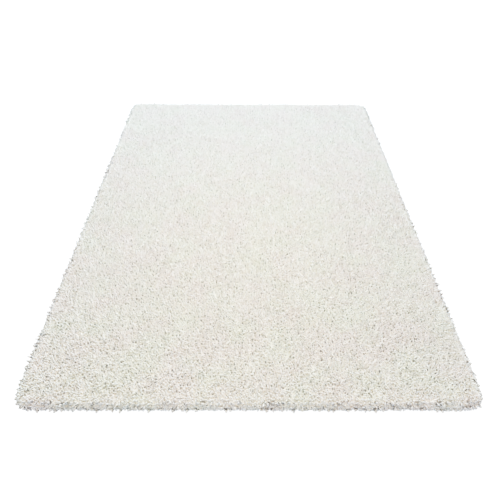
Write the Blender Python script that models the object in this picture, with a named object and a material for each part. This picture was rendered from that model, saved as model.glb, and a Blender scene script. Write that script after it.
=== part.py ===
"""Shag rug, 1.2 m by 1.7 m, lying flat on a floor.

A shag rug is woven in one piece: long, loose yarn stands on a thin woven ground. So the rug is
one solid, a lumpy slab of pile with a flat underside, and the yarn that leans out past the
ground stands as a row of locks round its rim.

Metres, +Z up. X runs across the rug and Y along it. The origin is the middle of the underside.
"""

import random

import bmesh
import bpy
from mathutils import Vector, noise

# Driving sizes of the rug
GROUND_WIDTH = 1.200
GROUND_LENGTH = 1.700
GROUND_THICKNESS = 0.003
CORNER_RADIUS = 0.030
PILE_TOP = 0.035

# The face of the pile: lumps where the yarn gathers, with a hollow at the corners of each
LUMPS_ACROSS = 31
LUMPS_ALONG = 44
LUMP_DEPTH = 0.012  # from the highest lump to the lowest hollow
LUMP_TOPS = (0.0, 0.30)  # how far down a lump's top may be, as shares of LUMP_DEPTH
HOLLOWS = (0.50, 0.80)
STEEPEST = 0.40  # the most that a top stands above its hollows, as a share of the way to the nearest
HOLLOW_SHIFT = 0.26  # how far a hollow strays from its place, as a share of the spacing
SWELL_LENGTH = 0.35  # slow swells, where the pile was laid over or brushed up
SWELL_SHARE = 0.20

# The side of the pile, which rounds over from the face and falls to the ground
SHOULDER_INSET = 0.013
SHOULDER_DROP = 0.002
WALL_INSET = 0.001
WALL_TOP = 0.024

# The locks: each grows from one facet of the side, two facets to a lump
LOCK_REACH = 0.017
SHORTEST_LOCK = 0.62  # as a share of LOCK_REACH
FULL_LOCKS = 0.25  # the share of the locks that reach all the way
LOCK_RISE = (-0.008, 0.010)
LOCK_SWAY = 0.007
LOCK_WAIST_OUT = 0.46  # where a lock's middle lies on its way out, as a share of its reach
LOCK_WAIST_SIZE = 0.62  # how thick it is there, as a share of its root

CREAM = (0.80, 0.77, 0.69, 1.0)
SEED = 11


def start_empty():
    for obj in list(bpy.data.objects):
        bpy.data.objects.remove(obj, do_unlink=True)


def cream_yarn():
    material = bpy.data.materials.new("cream_yarn")
    material.use_nodes = True
    shader = material.node_tree.nodes["Principled BSDF"]
    shader.inputs["Base Color"].default_value = CREAM
    shader.inputs["Roughness"].default_value = 0.95
    shader.inputs["Metallic"].default_value = 0.0
    return material


def clamp(value, limit):
    return max(-limit, min(limit, value))


def core(place):
    """The nearest point of the plain rectangle that the rounded corners turn about."""
    return Vector(
        (
            clamp(place.x, GROUND_WIDTH / 2 - CORNER_RADIUS),
            clamp(place.y, GROUND_LENGTH / 2 - CORNER_RADIUS),
            0.0,
        )
    )


def outward(place):
    """The level direction that points out of the rug at its rim, turning round each corner."""
    return (Vector((place.x, place.y, 0.0)) - core(place)).normalized()


def onto_rim(place, inset, height):
    """A point of the rim moved onto the rounded outline that lies inset inside the ground's edge."""
    return core(place) + outward(place) * (CORNER_RADIUS - inset) + Vector((0.0, 0.0, height))


def face_height(place, drops, rng):
    """How high the face of the pile stands here: a drop picked between these two, on slow swells."""
    swell = noise.noise(Vector((place.x, place.y, 0.0)) / SWELL_LENGTH)
    return PILE_TOP - LUMP_DEPTH * (rng.uniform(*drops) + SWELL_SHARE * (0.5 - 0.5 * swell))


def add_face(mesh, rng):
    """The lumpy face: a grid of hollows with a top between each four, from shoulder to shoulder.
    Its rim edges are cut in two, one for each lock."""
    bmesh.ops.create_grid(mesh, x_segments=LUMPS_ACROSS, y_segments=LUMPS_ALONG, size=0.5)
    spacing = Vector((GROUND_WIDTH / LUMPS_ACROSS, GROUND_LENGTH / LUMPS_ALONG, 0.0))
    for vert in mesh.verts:
        vert.co = Vector((vert.co.x * GROUND_WIDTH, vert.co.y * GROUND_LENGTH, 0.0))
        if vert.is_boundary:
            continue
        vert.co.x += rng.uniform(-HOLLOW_SHIFT, HOLLOW_SHIFT) * spacing.x
        vert.co.y += rng.uniform(-HOLLOW_SHIFT, HOLLOW_SHIFT) * spacing.y
        vert.co.z = face_height(vert.co, HOLLOWS, rng)
    rim = [edge for edge in mesh.edges if edge.is_boundary]
    bmesh.ops.subdivide_edges(mesh, edges=rim, cuts=1)
    rim = [edge for edge in mesh.edges if edge.is_boundary]
    for vert in dict.fromkeys(vert for edge in rim for vert in edge.verts):
        vert.co = onto_rim(vert.co, SHOULDER_INSET, face_height(vert.co, HOLLOWS, rng) - SHOULDER_DROP)
    for vert in bmesh.ops.poke(mesh, faces=mesh.faces)["verts"]:
        shortest = min(edge.calc_length() for edge in vert.link_edges)
        vert.co.z = min(face_height(vert.co, LUMP_TOPS, rng), vert.co.z + STEEPEST * shortest)
    return rim


def add_band(mesh, edges, inset, height):
    """A band of faces from these rim edges to the outline at inset and height. Returns its far edges."""
    made = bmesh.ops.extrude_edge_only(mesh, edges=edges)["geom"]
    for vert in (item for item in made if isinstance(item, bmesh.types.BMVert)):
        vert.co = onto_rim(vert.co, inset, height)
    return [item for item in made if isinstance(item, bmesh.types.BMEdge) and item.is_boundary]


def grow_lock(mesh, facet, rng):
    """Draws one facet of the side out into a lock that tapers to a point and leans at its end."""
    middle = facet.calc_center_median()
    root = [vert.co.copy() for vert in facet.verts]
    out = outward(middle)
    reach = LOCK_REACH
    if rng.random() > FULL_LOCKS:
        reach *= rng.uniform(SHORTEST_LOCK, 1.0)
    lean = Vector((-out.y, out.x, 0.0)) * rng.uniform(-LOCK_SWAY, LOCK_SWAY)
    lean.z = rng.uniform(*LOCK_RISE)
    waist = bmesh.ops.extrude_discrete_faces(mesh, faces=[facet])["faces"][0]
    for vert, start in zip(waist.verts, root):
        vert.co = middle + (start - middle) * LOCK_WAIST_SIZE
        vert.co += out * reach * LOCK_WAIST_OUT + lean * LOCK_WAIST_OUT**2
    tip = bmesh.ops.poke(mesh, faces=[waist])["verts"][0]
    tip.co = middle + out * reach + lean


def shag_rug():
    rng = random.Random(SEED)
    mesh = bmesh.new()
    rim = add_face(mesh, rng)
    rim = add_band(mesh, rim, WALL_INSET, WALL_TOP)
    rim = add_band(mesh, rim, WALL_INSET, GROUND_THICKNESS)
    side = [edge.link_faces[0] for edge in rim]
    rim = add_band(mesh, rim, 0.0, 0.0)
    bmesh.ops.contextual_create(mesh, geom=rim)
    bmesh.ops.recalc_face_normals(mesh, faces=mesh.faces)
    for facet in side:
        grow_lock(mesh, facet, rng)
    data = bpy.data.meshes.new("shag_rug")
    mesh.to_mesh(data)
    mesh.free()
    data.shade_smooth()
    data.materials.append(cream_yarn())
    return bpy.data.objects.new("shag_rug", data)


def main():
    start_empty()
    rug = bpy.data.collections.new("shag_rug")
    bpy.context.scene.collection.children.link(rug)
    rug.objects.link(shag_rug())


main()
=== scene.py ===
"""The looks of a shag rug, 1.2 m by 1.7 m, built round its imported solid.

The rug is put together from the floor up: the woven ground, the matted foot of the pile, and
the yarn itself, tuft by tuft. Metres, +Z up. The origin is the middle of the underside.
"""

import math

import bmesh
import bpy
import numpy as np
from mathutils import Matrix, Vector, noise


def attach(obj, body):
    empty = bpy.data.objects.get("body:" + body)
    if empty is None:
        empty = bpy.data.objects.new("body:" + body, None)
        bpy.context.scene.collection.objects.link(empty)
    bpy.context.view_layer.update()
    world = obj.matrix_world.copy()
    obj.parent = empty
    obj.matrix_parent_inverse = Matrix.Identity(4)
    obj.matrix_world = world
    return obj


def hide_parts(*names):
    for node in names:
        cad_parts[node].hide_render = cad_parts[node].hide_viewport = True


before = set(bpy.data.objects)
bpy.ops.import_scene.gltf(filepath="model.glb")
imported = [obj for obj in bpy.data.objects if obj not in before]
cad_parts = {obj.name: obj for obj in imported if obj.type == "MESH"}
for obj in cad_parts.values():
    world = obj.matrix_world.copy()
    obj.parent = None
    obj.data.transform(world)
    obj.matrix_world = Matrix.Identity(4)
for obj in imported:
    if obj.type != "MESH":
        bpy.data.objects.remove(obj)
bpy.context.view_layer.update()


# ---- The woven ground -------------------------------------------------------------------
# A plain cloth of coarse undyed yarn that every tuft is tied into. It is one sheet, cut with
# rounded corners, and lies flat on the floor under the whole of the pile.
GROUND_SIZE = (1.200, 1.700)
GROUND_THICKNESS = 0.003
GROUND_CORNER = 0.038
GROUND_CELL = 0.020
WEFT_PITCH = 0.0038
WEFT_COLOUR = (0.62, 0.59, 0.54, 1.0)
# painted shade in the gaps between the threads
WEAVE_GAP_SHADE = (0.36, 0.33, 0.29, 1.0)
WEAVE_RISE = 0.0008  # how far a thread stands above the gaps beside it
WEAVE_RELIEF = 0.7  # how strongly that shows
GROUND_FIBRES = 700.0  # to a metre
GROUND_FIBRE_RISE = 0.4  # as a share of a thread's
GROUND_SHEEN = 0.1
CLOTH_ROUGHNESS = 0.9
CLOTH_SHINE = 0.2
SHEEN_ROUGHNESS = 0.5


def rounded(x, y, half, radius):
    """A point of a rectangle with these half sizes, moved so that its corners come out round."""
    over_x = max(0.0, abs(x) - (half[0] - radius)) / radius
    over_y = max(0.0, abs(y) - (half[1] - radius)) / radius
    new_x = min(abs(x), half[0] - radius) + over_x * math.sqrt(1.0 - over_y * over_y / 2.0) * radius
    new_y = min(abs(y), half[1] - radius) + over_y * math.sqrt(1.0 - over_x * over_x / 2.0) * radius
    return math.copysign(new_x, x), math.copysign(new_y, y)


def rounded_grid(mesh, inset, cell, height):
    """A grid with round corners, inset from the ground's edge, that lies as high as height says at
    each place. Returns its rim's edges."""
    half = (GROUND_SIZE[0] / 2 - inset, GROUND_SIZE[1] / 2 - inset)
    count = [round(2 * side / cell) for side in half]
    bmesh.ops.create_grid(mesh, x_segments=count[0], y_segments=count[1], size=0.5)
    for vert in mesh.verts:
        place = (vert.co.x * 2 * half[0], vert.co.y * 2 * half[1])
        place = rounded(*place, half, GROUND_CORNER - inset)
        vert.co = (*place, height(*place))
    return [edge for edge in mesh.edges if edge.is_boundary]


def rim_band(mesh, edges, step_out, height):
    """A band from these rim edges to ones that lie step_out further out, at this height."""
    half = (GROUND_SIZE[0] / 2 - GROUND_CORNER, GROUND_SIZE[1] / 2 - GROUND_CORNER)
    made = bmesh.ops.extrude_edge_only(mesh, edges=edges)["geom"]
    for vert in (item for item in made if isinstance(item, bmesh.types.BMVert)):
        level = Vector((vert.co.x, vert.co.y, 0.0))
        core_x = max(-half[0], min(half[0], level.x))
        core_y = max(-half[1], min(half[1], level.y))
        vert.co = level + (level - Vector((core_x, core_y, 0.0))).normalized() * step_out
        vert.co.z = height
    return [item for item in made if isinstance(item, bmesh.types.BMEdge) and item.is_boundary]


def close_and_show(mesh, edges, name, material):
    """Closes the mesh with one face over these edges, and makes it a smooth object. Its faces and
    their corners are put in order, so that what grows on them comes out alike each time."""
    bmesh.ops.contextual_create(mesh, geom=edges)
    bmesh.ops.recalc_face_normals(mesh, faces=mesh.faces)
    mesh.verts.index_update()
    faces = []
    for face in mesh.faces:
        corners = [vert.index for vert in face.verts]
        first = corners.index(min(corners))
        faces.append(corners[first:] + corners[:first])
    data = bpy.data.meshes.new(name)
    data.from_pydata([vert.co for vert in mesh.verts], [], sorted(faces))
    mesh.free()
    data.shade_smooth()
    data.materials.append(material)
    piece = bpy.data.objects.new(name, data)
    bpy.context.scene.collection.objects.link(piece)
    return piece


def add_node(tree, kind, inputs=None, **settings):
    """Adds a node. inputs gives a value or another node's output for some of its sockets."""
    node = tree.nodes.new(kind)
    for name, value in settings.items():
        setattr(node, name, value)
    for name, value in (inputs or {}).items():
        if isinstance(value, bpy.types.NodeSocket):
            tree.links.new(value, node.inputs[name])
        else:
            node.inputs[name].default_value = value
    return node


def maths(tree, operation, *terms):
    """The result of one Math node on these numbers or outputs."""
    return add_node(tree, "ShaderNodeMath", dict(enumerate(terms)), operation=operation).outputs[0]


def parts(tree, vector):
    """The X, Y and Z of a vector, or of a colour."""
    return add_node(tree, "ShaderNodeSeparateXYZ", {"Vector": vector}).outputs


def noise_at(tree, place, per_metre, detail):
    """A noise texture's outputs, with so many lumps to a metre."""
    ends = {"Vector": place, "Scale": per_metre, "Detail": detail}
    return add_node(tree, "ShaderNodeTexNoise", ends).outputs


def mixed(tree, factor, first, second, blend="MIX"):
    """The result of one Mix node on two colours."""
    ends = {0: factor, 6: first, 7: second}
    return add_node(tree, "ShaderNodeMix", ends, data_type="RGBA", blend_type=blend).outputs[2]


def add_bump(tree, shader, height, strength, distance):
    """Lets the shader's surface stand up and down by this height."""
    ends = {"Height": height, "Strength": strength, "Distance": distance}
    bump = add_node(tree, "ShaderNodeBump", ends)
    tree.links.new(bump.outputs["Normal"], shader.inputs["Normal"])


def cloth_material(name, sheen):
    """A matte material of yarn, and its shader, ready for its colour and bump."""
    material = bpy.data.materials.new(name)
    material.use_nodes = True
    shader = material.node_tree.nodes["Principled BSDF"]
    shader.inputs["Roughness"].default_value = CLOTH_ROUGHNESS
    shader.inputs["Specular IOR Level"].default_value = CLOTH_SHINE
    shader.inputs["Sheen Weight"].default_value = sheen
    shader.inputs["Sheen Roughness"].default_value = SHEEN_ROUGHNESS
    return material, shader


def ground_material():
    """Plain weave: each weft goes over and under the warps, with shade painted dark into the gaps
    between them.
    """
    material, shader = cloth_material("woven_ground", GROUND_SHEEN)
    tree = material.node_tree
    place = add_node(tree, "ShaderNodeTexCoord").outputs["Object"]
    part = parts(tree, place)
    weft = maths(tree, "SINE", maths(tree, "MULTIPLY", part["Y"], math.pi / WEFT_PITCH))
    warp = maths(tree, "SINE", maths(tree, "MULTIPLY", part["X"], math.pi / WEFT_PITCH))
    over = maths(tree, "MULTIPLY_ADD", maths(tree, "MULTIPLY", weft, warp), 0.5, 0.5)
    fibre = noise_at(tree, place, GROUND_FIBRES, 3.0)["Fac"]
    # Painted shade: the colour darkens towards the gaps between the threads
    tree.links.new(mixed(tree, over, WEAVE_GAP_SHADE, WEFT_COLOUR), shader.inputs["Base Color"])
    raised = maths(tree, "MULTIPLY_ADD", fibre, GROUND_FIBRE_RISE, over)
    add_bump(tree, shader, raised, WEAVE_RELIEF, WEAVE_RISE)
    return material


cloth = bmesh.new()
rim = rounded_grid(cloth, 0.0, GROUND_CELL, lambda x, y: GROUND_THICKNESS)
rim = rim_band(cloth, rim, 0.0, 0.0)
ground = close_and_show(cloth, rim, "ground", ground_material())
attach(ground, "root")
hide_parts("shag_rug")


# ---- The foot of the pile ---------------------------------------------------------------
# Where the tufts leave the ground they stand so close that they mat together. Between the
# loose ends one sees down to this mat: the same cream yarn, lumpy, and in its own shade.
MAT_CELL = 0.012
MAT_TOP = 0.0247
MAT_LUMP = 0.0015  # how far a lump stands above the hollows beside it
MAT_LUMP_LENGTH = 0.022
SWELL = 0.003  # the same for the slow swells, where the pile was laid over or brushed up
SWELL_LENGTH = 0.16
MAT_INSET = 0.012  # from the ground's edge to the rim of the mat's top
# The side of the mat, from its top's rim down: steps outward, and heights
MAT_SIDE = (
    (0.0080, 0.0215),
    (0.0055, 0.0155),
    (0.0015, 0.0095),
    (-0.0005, 0.0055),
    (-0.0010, 0.0028),
)
WHITE = (1.0, 1.0, 1.0, 1.0)
# The tones that an end of yarn may have, from the few darkest to the lightest
CREAM_TONES = (
    (0.00, (0.820, 0.765, 0.688, 1.0)),
    (0.22, (0.916, 0.865, 0.798, 1.0)),
    (0.60, (0.950, 0.904, 0.847, 1.0)),
    (1.00, (0.966, 0.928, 0.882, 1.0)),
)
ROSE_CREAM = (1.00, 0.968, 0.960, 1.0)
GREEN_CREAM = (0.983, 1.00, 0.954, 1.0)
TINT_PATCHES = 11.0  # of rose and green cream, to a metre
TINT_EDGES = (0.36, 0.64)  # where one tint ends and the other begins in their noise
# Shade painted into the yarn's colour: at its roots, next to the floor and round partings
ROOT_SHADE = (0.95, 0.94, 0.91, 1.0)
LOW_SHADE = (0.42, 0.42, 0.42, 1.0)  # of the roots next to the floor
LOW_HEIGHT = 0.013
# Here and there the pile parts round a spot, and one sees down to its foot
PARTING_SHADE = (0.34, 0.325, 0.30, 1.0)
PARTING_EDGES = (0.7, 1.5)  # between which its shade fades out, in shares of its size
TIP_SHADE = 0.70  # how much of that shade reaches the ends of the yarn round it
PARTINGS_PER_METRE = 106.0
PARTING_SIZE = 0.0024  # how far the widest parting pushes the yarn away from its middle
NARROWEST = 0.25  # the narrowest, as a share of the widest
PARTING_REACH = 0.0062  # from its middle to the last yarn that it pushes
PARTING_RIM = 0.034  # how far inside the ground's edge the partings' shade starts to fade out
YARN_FIBRES = 900.0  # to a metre
YARN_ROUGHNESS = 0.78  # where it is smoothest
FIBRE_ROUGHNESS = 0.2  # the most that its fibres add to that
MAT_ENDS = 230.0  # ends of yarn to a metre
MAT_LIGHT = 0.2  # how far the ends in the mat are out of their painted shade, as a share of open yarn
MAT_SHEEN = 0.1
MAT_FUZZ = 0.3  # how far the fuzz stands up, as a share of an end
MAT_RELIEF = 0.8
MAT_END_RISE = 0.002


def mat_height(x, y):
    """How high the mat stands here: lumps of a few tufts on slow swells."""
    lump = noise.noise(Vector((x, y, 0.0)) / MAT_LUMP_LENGTH)
    swell = noise.noise(Vector((x, y, 1.0)) / SWELL_LENGTH)
    return MAT_TOP + MAT_LUMP / 2 * lump + SWELL / 2 * swell


def vector_maths(tree, operation, *terms):
    """The vector, or the number, that one Vector Math node gives for these vectors or outputs."""
    node = add_node(tree, "ShaderNodeVectorMath", dict(enumerate(terms)), operation=operation)
    return node.outputs["Value" if operation in ("DOT_PRODUCT", "LENGTH") else "Vector"]


def ranged(tree, value, ends, results=(0.0, 1.0)):
    """A value that goes evenly from one result to the other as this one passes between its ends."""
    names = ("From Min", "From Max", "To Min", "To Max")
    sockets = {"Value": value, **dict(zip(names, (*ends, *results)))}
    return add_node(tree, "ShaderNodeMapRange", sockets).outputs["Result"]


def nearest_parting(tree, place, per_metre):
    """The outputs of the nearest parting's node, and its size as a share of the widest one's."""
    ends = {"Vector": place, "Scale": per_metre}
    spot = add_node(tree, "ShaderNodeTexVoronoi", ends, voronoi_dimensions="2D").outputs
    chance = parts(tree, spot["Color"])["X"]
    return spot, maths(tree, "MULTIPLY_ADD", chance, 1.0 - NARROWEST, NARROWEST)


def cream_yarn_shade():
    """A node group: the colour, roughness and fuzz of cream yarn, by its tone and its place, with
    shade painted into that colour by how far along the yarn it is, round partings and next to the
    floor."""
    group = bpy.data.node_groups.new("cream_yarn_shade", "ShaderNodeTree")
    sockets = (
        ("Tone", "INPUT", "Float"),
        ("Along", "INPUT", "Float"),
        ("Color", "OUTPUT", "Color"),
        ("Roughness", "OUTPUT", "Float"),
        ("Fuzz", "OUTPUT", "Float"),
    )
    for name, way, kind in sockets:
        group.interface.new_socket(name, in_out=way, socket_type="NodeSocket" + kind)
    given = add_node(group, "NodeGroupInput").outputs
    ramp = add_node(group, "ShaderNodeValToRGB", {"Fac": given["Tone"]})
    stops = ramp.color_ramp.elements
    while len(stops) < len(CREAM_TONES):
        stops.new(0.5)
    for stop, (place, colour) in zip(stops, CREAM_TONES):
        stop.position, stop.color = place, colour
    place = add_node(group, "ShaderNodeTexCoord").outputs["Object"]
    patch = noise_at(group, place, TINT_PATCHES, 3.0)["Fac"]
    tint = mixed(group, ranged(group, patch, TINT_EDGES), ROSE_CREAM, GREEN_CREAM)

    # How deep in a parting's painted shade a place lies, which fades out near the rim
    spot, size = nearest_parting(group, place, PARTINGS_PER_METRE)
    size = maths(group, "MULTIPLY", size, PARTING_SIZE * PARTINGS_PER_METRE)
    parted = maths(group, "DIVIDE", spot["Distance"], size)
    parted = ranged(group, parted, PARTING_EDGES, (1.0, 0.0))
    core = (GROUND_SIZE[0] / 2 - GROUND_CORNER, GROUND_SIZE[1] / 2 - GROUND_CORNER, 1.0)
    beyond = vector_maths(group, "SUBTRACT", vector_maths(group, "ABSOLUTE", place), core)
    beyond = vector_maths(group, "LENGTH", vector_maths(group, "MAXIMUM", beyond, (0.0,) * 3))
    inside = ranged(group, beyond, (GROUND_CORNER, GROUND_CORNER - PARTING_RIM))
    parted = maths(group, "MULTIPLY", parted, inside)

    # Painted shade: the roots are darkened, and most of all next to the floor; the ends are in the
    # open
    low = ranged(group, parts(group, place)["Z"], (0.0, LOW_HEIGHT), (1.0, 0.0))
    shade = mixed(group, parted, mixed(group, low, ROOT_SHADE, LOW_SHADE), PARTING_SHADE)
    open_air = maths(group, "MULTIPLY_ADD", parted, -TIP_SHADE, 1.0)
    open_air = maths(group, "MULTIPLY", open_air, given["Along"])
    shade = mixed(group, open_air, shade, WHITE)
    colour = mixed(group, 1.0, ramp.outputs["Color"], tint, "MULTIPLY")
    colour = mixed(group, 1.0, colour, shade, "MULTIPLY")
    fibre = noise_at(group, place, YARN_FIBRES, 2.0)["Fac"]
    rough = maths(group, "MULTIPLY_ADD", fibre, FIBRE_ROUGHNESS, YARN_ROUGHNESS)
    add_node(group, "NodeGroupOutput", {"Color": colour, "Roughness": rough, "Fuzz": fibre})
    return group


def shaded_yarn(tree, shader, shade_group, tone, along):
    """Gives the shader the yarn's colour and roughness. Returns how far its fuzz stands up."""
    shade = add_node(tree, "ShaderNodeGroup", node_tree=shade_group)
    tree.links.new(tone, shade.inputs["Tone"])
    tree.links.new(along, shade.inputs["Along"])
    tree.links.new(shade.outputs["Color"], shader.inputs["Base Color"])
    tree.links.new(shade.outputs["Roughness"], shader.inputs["Roughness"])
    return shade.outputs["Fuzz"]


def mat_material(shade_group):
    """Matted yarn ends: each a few millimetres across, with its own tone, under painted shade that
    is deepest between them.
    """
    material, shader = cloth_material("pile_foot", MAT_SHEEN)
    tree = material.node_tree
    place = add_node(tree, "ShaderNodeTexCoord").outputs["Object"]
    ends = add_node(tree, "ShaderNodeTexVoronoi", {"Vector": place, "Scale": MAT_ENDS}).outputs
    tone = parts(tree, ends["Color"])["X"]
    raised = maths(tree, "SUBTRACT", 1.0, ends["Distance"])
    along = maths(tree, "MULTIPLY", raised, MAT_LIGHT)
    fuzz = shaded_yarn(tree, shader, shade_group, tone, along)
    height = maths(tree, "MULTIPLY_ADD", fuzz, MAT_FUZZ, raised)
    add_bump(tree, shader, height, MAT_RELIEF, MAT_END_RISE)
    return material


shade_group = cream_yarn_shade()
foot = bmesh.new()
rim = rounded_grid(foot, MAT_INSET, MAT_CELL, mat_height)
for step_out, height in MAT_SIDE:
    rim = rim_band(foot, rim, step_out, height)
mat = close_and_show(foot, rim, "pile_foot", mat_material(shade_group))
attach(mat, "root")
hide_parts("shag_rug")


# ---- The yarn ---------------------------------------------------------------------------
# Thick, soft, loosely spun yarn, 5 to 7 mm through. Its ends stand up out of the mat, close
# together, and fall over each way, and round the rim they hang together in locks that lean
# out past the ground. The pile is made in five bands across the rug, and a rim.
BANDS = 5
OVERHANG = 0.010  # how far past the ground the bands reach
YARN_POINTS = 3
YARN_SIDES = 3
YARN_SEED = 7
# A seed for each thing that chance gives a yarn
LEAN_SEED, TONE_SEED, LENGTH_SEED, BEND_SEED, CRIMP_SEED, START_SEED = range(1, 7)
MOST_TUFTS = 500000.0  # to a square metre, far more than their pitch has room for
LEAST_BEND = 0.3  # radians that the straightest yarn turns through, from its foot to its end
POINT_CURVE = 0.6  # a power below 1 puts a yarn's middle point nearer its end
ROOT_DEPTH = 0.002  # how deep in the mat a yarn starts
SWIRLS_PER_METRE = 9.0  # whorls in which the tufts next to each other lean alike
SWIRL_SHARE = 0.5  # how strongly they do
SIDE_SAG = 0.35  # how much the tufts at the sides hang down
SIDE_TRIM = 0.2  # and how much shorter they are
CRIMP = 0.0013  # how far a yarn's end strays from its bow, each way
CLOSING = 0.85  # how far the yarns of a tuft come together at its end, as a share
CLOSING_CURVE = 1.5  # a power above 1 keeps them apart lower down
FLOOR_LINE = 0.0031  # how low the middle of a yarn may lie, so that its side stays off the floor
FAR_OFF = -10.0  # below any place across or along the rug
TWIST = 2.0  # radians, from a yarn's foot to its end
TAPER = 0.45  # how much thinner a yarn is at its end, as a share
TAPER_CURVE = 4.0  # a high power keeps the rest of it full
YARN_SHEEN = 0.6
SHADED_SHARE = 0.5  # how much of a yarn, from its foot, is painted with the shade of those round it
FOOT_LIGHT = 0.4  # how far its foot is out of that painted shade
PLIES = 2.0
PLY_TURNS = 3.0
YARN_FUZZ = 1.2  # how far the fuzz stands up, as a share of a ply
YARN_RELIEF = 0.4
PLY_RISE = 0.0005
# Where a yarn lies in its cell of the texture map, as shares of the cell
MAP_EDGE = 0.1
MAP_WIDTH = 0.8
MAP_LENGTH = 0.7
MAP_BOW = 0.3
# How each kind of tuft is made: the spacing of the tufts, the yarns in one, how far apart they
# start, how long, uneven, thick and bent they are, and how steeply and how flat the mat may lie
# where they grow, as the upward part of its normal
FACE_TUFT = {
    "Tuft Pitch": 0.0046,
    "Yarns per Tuft": 1,
    "Tuft Spread": 0.0,
    "Yarn Length": 0.0084,
    "Uneven": 0.06,
    "Yarn Thickness": 0.0066,
    "Most Bend": 1.2,
    "Steepest": -0.5,
    "Flattest": 1.1,
}
RIM_LOCK = {
    "Tuft Pitch": 0.0110,
    "Yarns per Tuft": 6,
    "Tuft Spread": 0.0038,
    "Yarn Length": 0.0125,
    "Uneven": 0.35,
    "Yarn Thickness": 0.0052,
    "Most Bend": 0.9,
    "Steepest": 0.05,
    "Flattest": 0.97,
}


def scaled(tree, vector, factor):
    """A vector times a number."""
    ends = {0: vector, "Scale": factor}
    return add_node(tree, "ShaderNodeVectorMath", ends, operation="SCALE").outputs["Vector"]


def random_number(tree, low, high, seed):
    """A number between these two, picked for each point."""
    ends = {2: low, 3: high, "Seed": seed}
    return add_node(tree, "FunctionNodeRandomValue", ends, data_type="FLOAT").outputs[1]


def random_vector(tree, reach, seed):
    """A vector with each part between -reach and reach, picked for each point."""
    ends = {0: (-reach,) * 3, 1: (reach,) * 3, "Seed": seed}
    return add_node(tree, "FunctionNodeRandomValue", ends, data_type="FLOAT_VECTOR").outputs[0]


def store(tree, geometry, name, value, kind="FLOAT"):
    """Keeps a value on every point of the geometry under this name."""
    ends = {"Geometry": geometry, "Name": name, "Value": value}
    node = add_node(tree, "GeometryNodeStoreNamedAttribute", ends, data_type=kind, domain="POINT")
    return node.outputs["Geometry"]


def stored(tree, name, kind="FLOAT"):
    """The value kept on each point under this name."""
    node = add_node(tree, "GeometryNodeInputNamedAttribute", {"Name": name}, data_type=kind)
    return node.outputs["Attribute"]


def level_with_mat(tree, vector, normal):
    """A vector without the part of it that stands up from the mat."""
    part = scaled(tree, normal, vector_maths(tree, "DOT_PRODUCT", vector, normal))
    return vector_maths(tree, "SUBTRACT", vector, part)


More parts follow.
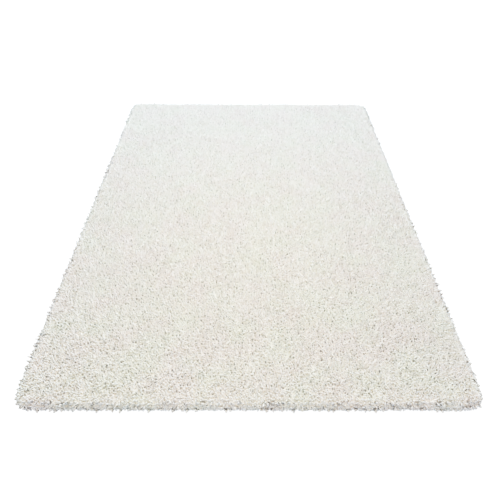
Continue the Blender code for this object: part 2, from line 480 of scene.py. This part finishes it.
def tufting_tree():
    """Geometry nodes that tie tufts into a mat and draw each yarn as a bent, tapering tube."""
    tree = bpy.data.node_groups.new("tufting", "GeometryNodeTree")
    sockets = (
        ("Mat", "Geometry"),
        ("Band Start", "Float"),
        ("Band End", "Float"),
        ("Tuft Pitch", "Float"),
        ("Yarns per Tuft", "Int"),
        ("Tuft Spread", "Float"),
        ("Yarn Length", "Float"),
        ("Uneven", "Float"),
        ("Yarn Thickness", "Float"),
        ("Most Bend", "Float"),
        ("Steepest", "Float"),
        ("Flattest", "Float"),
        ("Partings per Metre", "Float"),
        ("Seed", "Int"),
        ("Yarn", "Material"),
    )
    for name, kind in sockets:
        tree.interface.new_socket(name, in_out="INPUT", socket_type="NodeSocket" + kind)
    tree.interface.new_socket("Pile", in_out="OUTPUT", socket_type="NodeSocketGeometry")
    given = add_node(tree, "NodeGroupInput").outputs

    # Tufts where the mat lies no steeper and no flatter than given, and only those of this band
    facing = add_node(tree, "GeometryNodeInputNormal").outputs["Normal"]
    facing = parts(tree, facing)["Z"]
    steep = maths(tree, "GREATER_THAN", facing, given["Steepest"])
    flat = maths(tree, "LESS_THAN", facing, given["Flattest"])
    ends = {
        "Mesh": given["Mat"],
        "Selection": maths(tree, "MULTIPLY", steep, flat),
        "Distance Min": given["Tuft Pitch"],
        "Density Max": MOST_TUFTS,
        "Seed": given["Seed"],
    }
    kind = "GeometryNodeDistributePointsOnFaces"
    tufts = add_node(tree, kind, ends, distribute_method="POISSON").outputs
    points = store(tree, tufts["Points"], "tuft_normal", tufts["Normal"], "FLOAT_VECTOR")
    place = add_node(tree, "GeometryNodeInputPosition").outputs["Position"]
    along_rug = parts(tree, place)["Y"]
    before = maths(tree, "LESS_THAN", along_rug, given["Band Start"])
    beyond = maths(tree, "SUBTRACT", 1.0, maths(tree, "LESS_THAN", along_rug, given["Band End"]))
    outside = {"Geometry": points, "Selection": maths(tree, "ADD", before, beyond)}
    points = add_node(tree, "GeometryNodeDeleteGeometry", outside, domain="POINT").outputs[0]

    # What sets each tuft apart, and each of its yarns
    chance = random_vector(tree, 1.0, LEAN_SEED)
    points = store(tree, points, "tuft_lean", chance, "FLOAT_VECTOR")
    chance = random_number(tree, LEAST_BEND, given["Most Bend"], BEND_SEED)
    points = store(tree, points, "tuft_bend", chance)
    longest = maths(tree, "ADD", 1.0, given["Uneven"])
    shortest = maths(tree, "SUBTRACT", 1.0, given["Uneven"])
    chance = random_number(tree, shortest, longest, LENGTH_SEED)
    points = store(tree, points, "tuft_length", chance)
    yarns = {"Geometry": points, "Amount": given["Yarns per Tuft"]}
    points = add_node(tree, "GeometryNodeDuplicateElements", yarns, domain="POINT").outputs[0]
    index = add_node(tree, "GeometryNodeInputIndex").outputs["Index"]
    points = store(tree, points, "yarn", index, "INT")
    chance = random_vector(tree, 1.0, START_SEED)
    points = store(tree, points, "yarn_start", chance, "FLOAT_VECTOR")
    points = store(tree, points, "yarn_tone", random_number(tree, 0.0, 1.0, TONE_SEED))

    # Points along each yarn, on a bow that leaves the mat square and falls over to its lean
    points_on = {"Geometry": points, "Amount": YARN_POINTS}
    copies = add_node(tree, "GeometryNodeDuplicateElements", points_on, domain="POINT")
    share = maths(tree, "DIVIDE", copies.outputs["Duplicate Index"], YARN_POINTS - 1.0)
    share = maths(tree, "POWER", share, POINT_CURVE)
    points = store(tree, copies.outputs["Geometry"], "yarn_along", share)
    normal = stored(tree, "tuft_normal", "FLOAT_VECTOR")
    upright = parts(tree, normal)["Z"]
    sideways = maths(tree, "SUBTRACT", 1.0, upright)
    swirl = noise_at(tree, place, SWIRLS_PER_METRE, 1.0)["Color"]
    swirl = vector_maths(tree, "SUBTRACT", swirl, (0.5, 0.5, 0.5))
    swirl = scaled(tree, swirl, SWIRL_SHARE)
    lean = vector_maths(tree, "ADD", stored(tree, "tuft_lean", "FLOAT_VECTOR"), swirl)
    sag = {"Z": maths(tree, "MULTIPLY", sideways, -SIDE_SAG)}
    sag = add_node(tree, "ShaderNodeCombineXYZ", sag).outputs["Vector"]
    lean = level_with_mat(tree, vector_maths(tree, "ADD", lean, sag), normal)
    lean = vector_maths(tree, "NORMALIZE", lean)
    bend = stored(tree, "tuft_bend")
    turn = maths(tree, "MULTIPLY", bend, stored(tree, "yarn_along"))
    length = maths(tree, "MULTIPLY", stored(tree, "tuft_length"), given["Yarn Length"])
    trim = maths(tree, "MULTIPLY_ADD", sideways, -SIDE_TRIM, 1.0)
    length = maths(tree, "MULTIPLY", length, trim)
    bow = maths(tree, "DIVIDE", length, bend)
    rise = maths(tree, "MULTIPLY_ADD", maths(tree, "SINE", turn), bow, -ROOT_DEPTH)
    spread = maths(tree, "SUBTRACT", 1.0, maths(tree, "COSINE", turn))
    spread = maths(tree, "MULTIPLY", spread, bow)
    move = vector_maths(tree, "ADD", scaled(tree, normal, rise), scaled(tree, lean, spread))
    crimp = scaled(tree, random_vector(tree, CRIMP, CRIMP_SEED), stored(tree, "yarn_along"))
    move = vector_maths(tree, "ADD", move, crimp)

    # The yarns of a tuft start apart and come together at its end
    start = level_with_mat(tree, stored(tree, "yarn_start", "FLOAT_VECTOR"), normal)
    apart = maths(tree, "POWER", stored(tree, "yarn_along"), CLOSING_CURVE)
    apart = maths(tree, "MULTIPLY_ADD", apart, -CLOSING, 1.0)
    apart = maths(tree, "MULTIPLY", apart, given["Tuft Spread"])
    move = vector_maths(tree, "ADD", move, scaled(tree, start, apart))

    # A parting pushes the yarn round it away, and nothing goes through the floor
    spot, size = nearest_parting(tree, place, given["Partings per Metre"])
    away = vector_maths(tree, "SUBTRACT", place, spot["Position"])
    away = vector_maths(tree, "MULTIPLY", away, (1.0, 1.0, 0.0))
    far = vector_maths(tree, "LENGTH", away)
    push = ranged(tree, far, (0.0, PARTING_REACH), (PARTING_SIZE, 0.0))
    push = maths(tree, "MULTIPLY", push, size)
    push = maths(tree, "MULTIPLY", push, maths(tree, "MAXIMUM", upright, 0.0))
    away = scaled(tree, vector_maths(tree, "NORMALIZE", away), push)
    move = vector_maths(tree, "ADD", move, away)
    goal = vector_maths(tree, "ADD", place, move)
    goal = vector_maths(tree, "MAXIMUM", goal, (FAR_OFF, FAR_OFF, FLOOR_LINE))
    moved = {"Geometry": points, "Position": goal}
    points = add_node(tree, "GeometryNodeSetPosition", moved).outputs["Geometry"]

    # A tapering tube along each yarn
    ends = {
        "Points": points,
        "Curve Group ID": stored(tree, "yarn", "INT"),
        "Weight": stored(tree, "yarn_along"),
    }
    threads = add_node(tree, "GeometryNodePointsToCurves", ends).outputs["Curves"]
    ends = {"Curve": threads, "Tilt": maths(tree, "MULTIPLY", stored(tree, "yarn_along"), TWIST)}
    threads = add_node(tree, "GeometryNodeSetCurveTilt", ends).outputs["Curve"]
    radius = maths(tree, "MULTIPLY", given["Yarn Thickness"], 0.5)
    ends = {"Resolution": YARN_SIDES, "Radius": radius}
    round_yarn = add_node(tree, "GeometryNodeCurvePrimitiveCircle", ends).outputs["Curve"]
    near_end = maths(tree, "POWER", stored(tree, "yarn_along"), TAPER_CURVE)
    ends = {
        "Curve": threads,
        "Profile Curve": round_yarn,
        "Scale": maths(tree, "MULTIPLY_ADD", near_end, -TAPER, 1.0),
        "Fill Caps": True,
    }
    tubes = add_node(tree, "GeometryNodeCurveToMesh", ends).outputs["Mesh"]
    smooth = add_node(tree, "GeometryNodeSetShadeSmooth", {"Geometry": tubes}).outputs["Geometry"]
    whole = add_node(tree, "GeometryNodeRealizeInstances", {"Geometry": smooth}).outputs["Geometry"]
    finished = {"Geometry": whole, "Material": given["Yarn"]}
    pile = add_node(tree, "GeometryNodeSetMaterial", finished).outputs["Geometry"]
    add_node(tree, "NodeGroupOutput", {"Pile": pile})
    return tree


def yarn_material(shade_group):
    """Loosely spun yarn: a tone for each end, shade painted towards its foot, plies twisting round
    it, and fuzz.
    """
    material, shader = cloth_material("pile_yarn", YARN_SHEEN)
    tree = material.node_tree
    tone, along, around = (
        add_node(tree, "ShaderNodeAttribute", attribute_name=name).outputs["Fac"]
        for name in ("yarn_tone", "yarn_along", "yarn_around")
    )
    # Painted shade: the colour darkens towards the foot of each yarn
    light = ranged(tree, along, (0.0, SHADED_SHARE), (FOOT_LIGHT, 1.0))
    fuzz = shaded_yarn(tree, shader, shade_group, tone, light)
    turns = maths(tree, "MULTIPLY_ADD", along, PLY_TURNS, maths(tree, "MULTIPLY", around, PLIES))
    plies = maths(tree, "SINE", maths(tree, "MULTIPLY", turns, 2.0 * math.pi))
    height = maths(tree, "MULTIPLY_ADD", fuzz, YARN_FUZZ, plies)
    add_bump(tree, shader, height, YARN_RELIEF, PLY_RISE)
    return material


def add_yarn_map(data):
    """Gives every yarn a cell of its own on the texture map, and keeps how far round it each
    corner of a face is. The rings are bowed on the map, so that the flat ends have room there."""
    per_yarn = YARN_POINTS * YARN_SIDES
    count = len(data.vertices) // per_yarn
    cells = math.ceil(math.sqrt(count))
    corners = np.empty(len(data.loops), np.int32)
    data.loops.foreach_get("vertex_index", corners)
    yarn, place = np.divmod(corners, per_yarn)
    ring, around = np.divmod(place, YARN_SIDES)
    starts = np.empty(len(data.polygons), np.int32)
    sizes = np.empty(len(data.polygons), np.int32)
    data.polygons.foreach_get("loop_start", starts)
    data.polygons.foreach_get("loop_total", sizes)
    quads = starts[sizes == 4][:, None] + np.arange(4)
    sides = around[quads]
    last = (sides.max(1) - sides.min(1) == YARN_SIDES - 1)[:, None]  # the side that closes the ring
    sides = np.where(last & (sides == 0), YARN_SIDES, sides)
    around = around.astype(np.float32)
    around[quads] = sides
    around /= YARN_SIDES
    data.attributes.new("yarn_around", "FLOAT", "CORNER").data.foreach_set("value", around)
    row, column = np.divmod(yarn, cells)
    bow = MAP_BOW * (around - 1 / YARN_SIDES) ** 2 / (YARN_POINTS - 1)
    flat = np.empty((len(corners), 2), np.float32)
    flat[:, 0] = (column + MAP_EDGE + MAP_WIDTH * around) / cells
    flat[:, 1] = (row + MAP_EDGE + MAP_LENGTH * ring / (YARN_POINTS - 1) + bow) / cells
    data.uv_layers.new(name="OFBake").data.foreach_set("uv", flat.ravel())


def pile_piece(name, tree, tuft, start, end, material):
    """The tufts of one kind, from start to end along the rug, as one piece."""
    bare = bpy.data.objects.new("tufting", mat.data)
    bpy.context.scene.collection.objects.link(bare)
    modifier = bare.modifiers.new("tufting", "NODES")
    modifier.node_group = tree
    values = {
        "Band Start": start,
        "Band End": end,
        "Partings per Metre": PARTINGS_PER_METRE,
        "Seed": YARN_SEED,
        "Yarn": material,
        **tuft,
    }
    for socket in tree.interface.items_tree:
        if socket.in_out == "INPUT" and socket.name in values:
            modifier[socket.identifier] = values[socket.name]
    bpy.context.view_layer.update()
    graph = bpy.context.evaluated_depsgraph_get()
    data = bpy.data.meshes.new_from_object(bare.evaluated_get(graph))
    bpy.data.objects.remove(bare)
    data.name = name
    add_yarn_map(data)
    piece = bpy.data.objects.new(name, data)
    bpy.context.scene.collection.objects.link(piece)
    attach(piece, "root")
    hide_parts("shag_rug")
    return piece


tufting = tufting_tree()
yarn = yarn_material(shade_group)
band = (GROUND_SIZE[1] + 2 * OVERHANG) / BANDS
pile = [pile_piece("pile_rim", tufting, RIM_LOCK, -GROUND_SIZE[1], GROUND_SIZE[1], yarn)]
for number in range(BANDS):
    start = number * band - GROUND_SIZE[1] / 2 - OVERHANG
    name = f"pile_{number + 1}"
    pile.append(pile_piece(name, tufting, FACE_TUFT, start, start + band, yarn))


# ---- The floor and the light ------------------------------------------------------------
# A plain white floor that runs out of sight, under a white sky. One broad, cool light
# stands over the far end, a long, warm one over the middle, and a weak one at the near end.
FLOOR_SIZE = 40.0
FLOOR_GREY = (0.6, 0.6, 0.6, 1.0)
FLOOR_GLOW = 1.35
SKY_STRENGTH = 1.085
SKY_COLOUR = (0.89, 0.86, 0.82, 1.0)
LOW_SKY_COLOUR = (1.06, 1.30, 1.70, 1.0)
FLOOR_BOUNCE_COLOUR = (0.48, 0.68, 0.90, 1.0)
FLOOR_BOUNCE = 0.48  # as a share of the sky
HORIZON = (-0.1, 0.1)  # between which the sky turns from the floor's light to its own
LOW_SKY = (0.0, 0.5)  # and between which its low colour turns to its high one
SKY_SHOWN = 2.0  # how bright the sky itself looks
LIGHT_BOUNCES = 12
# Each light: its place, the point it faces, its width and length, power and colour
LIGHTS = (
    ((0.0, 1.1, 1.8), (0.0, 0.3, 0.0), (2.4, 2.4), 80.5, (0.60, 0.81, 1.0)),
    ((0.0, -0.35, 0.8), (0.0, -0.35, 0.0), (0.25, 1.1), 2.4, (1.0, 0.76, 0.42)),
    ((0.0, -2.6, 0.5), (0.0, -0.85, 0.0), (3.0, 0.5), 10.0, (0.68, 0.84, 1.0)),
)
# How the picture answers to light: even in the mid tones, and ever less towards white
FILM_WHITE = 1.6
FILM_ANSWER = ((0.515, 0.515), (0.617, 0.610), (0.783, 0.725), (1.0, 0.835))


def stage_floor():
    """A white floor that glows a little, as a lit studio floor does, and throws no light back."""
    look = bpy.data.materials.new("floor")
    look.use_nodes = True
    shader = look.node_tree.nodes["Principled BSDF"]
    shader.inputs["Base Color"].default_value = FLOOR_GREY
    shader.inputs["Roughness"].default_value = 1.0
    shader.inputs["Specular IOR Level"].default_value = 0.0
    shader.inputs["Emission Color"].default_value = WHITE
    shader.inputs["Emission Strength"].default_value = FLOOR_GLOW
    mesh = bmesh.new()
    bmesh.ops.create_grid(mesh, x_segments=1, y_segments=1, size=FLOOR_SIZE / 2)
    data = bpy.data.meshes.new("floor")
    mesh.to_mesh(data)
    mesh.free()
    data.materials.append(look)
    floor = bpy.data.objects.new("floor", data)
    floor.visible_diffuse = False
    bpy.context.scene.collection.objects.link(floor)


def studio_sky():
    """A sky that lights the rug, cooler low down, and from below as a floor does. The sky itself
    shows plain white."""
    sky = bpy.data.worlds.new("sky")
    sky.use_nodes = True
    tree = sky.node_tree
    direction = add_node(tree, "ShaderNodeTexCoord").outputs["Generated"]
    height = parts(tree, direction)["Z"]
    up = ranged(tree, height, HORIZON)
    colour = mixed(tree, ranged(tree, height, LOW_SKY), LOW_SKY_COLOUR, SKY_COLOUR)
    colour = mixed(tree, up, FLOOR_BOUNCE_COLOUR, colour)
    share = maths(tree, "MULTIPLY_ADD", up, 1.0 - FLOOR_BOUNCE, FLOOR_BOUNCE)
    strength = maths(tree, "MULTIPLY", share, SKY_STRENGTH)
    seen = add_node(tree, "ShaderNodeLightPath").outputs["Is Camera Ray"]
    lights = maths(tree, "SUBTRACT", 1.0, seen)
    colour = mixed(tree, lights, WHITE, colour)
    strength = maths(tree, "SUBTRACT", strength, SKY_SHOWN)
    strength = maths(tree, "MULTIPLY_ADD", strength, lights, SKY_SHOWN)
    background = tree.nodes["Background"]
    tree.links.new(colour, background.inputs["Color"])
    tree.links.new(strength, background.inputs["Strength"])
    bpy.context.scene.world = sky


stage_floor()
studio_sky()
for place, facing, size, power, colour in LIGHTS:
    lamp_data = bpy.data.lights.new("soft_light", "AREA")
    lamp_data.shape = "RECTANGLE"
    lamp_data.size, lamp_data.size_y = size
    lamp_data.energy, lamp_data.color = power, colour
    lamp = bpy.data.objects.new("soft_light", lamp_data)
    lamp.location = place
    lamp.rotation_euler = (Vector(facing) - Vector(place)).to_track_quat("-Z", "Y").to_euler()
    lamp.visible_camera = False
    bpy.context.scene.collection.objects.link(lamp)
film = bpy.context.scene.view_settings
film.view_transform = "Standard"
film.use_curve_mapping = True
film.curve_mapping.white_level = (FILM_WHITE,) * 3
answer = film.curve_mapping.curves[3].points
for light, shown in FILM_ANSWER:
    answer.new(light / FILM_WHITE, shown)
film.curve_mapping.update()
bpy.context.scene.cycles.diffuse_bounces = LIGHT_BOUNCES


# ---- The camera -------------------------------------------------------------------------
# It stands over the near end of the rug, a little to its left, and looks along it and down. Its
# place, turns and lens put the rug's four edges where the photograph has them.
CAMERA_PLACE = (-0.0062, -1.4421, 1.1059)
CAMERA_LENS = 33.2
CAMERA_PITCH = math.radians(42.748)
CAMERA_YAW = math.radians(0.405)
CAMERA_ROLL = math.radians(0.397)

camera_data = bpy.data.cameras.new("camera")
camera_data.lens = CAMERA_LENS
camera = bpy.data.objects.new("camera", camera_data)
turn = (
    Matrix.Rotation(-CAMERA_YAW, 3, "Z")
    @ Matrix.Rotation(math.pi / 2 - CAMERA_PITCH, 3, "X")
    @ Matrix.Rotation(CAMERA_ROLL, 3, "Z")
)
camera.location = CAMERA_PLACE
camera.rotation_euler = turn.to_euler()
bpy.context.scene.collection.objects.link(camera)
bpy.context.scene.camera = camera
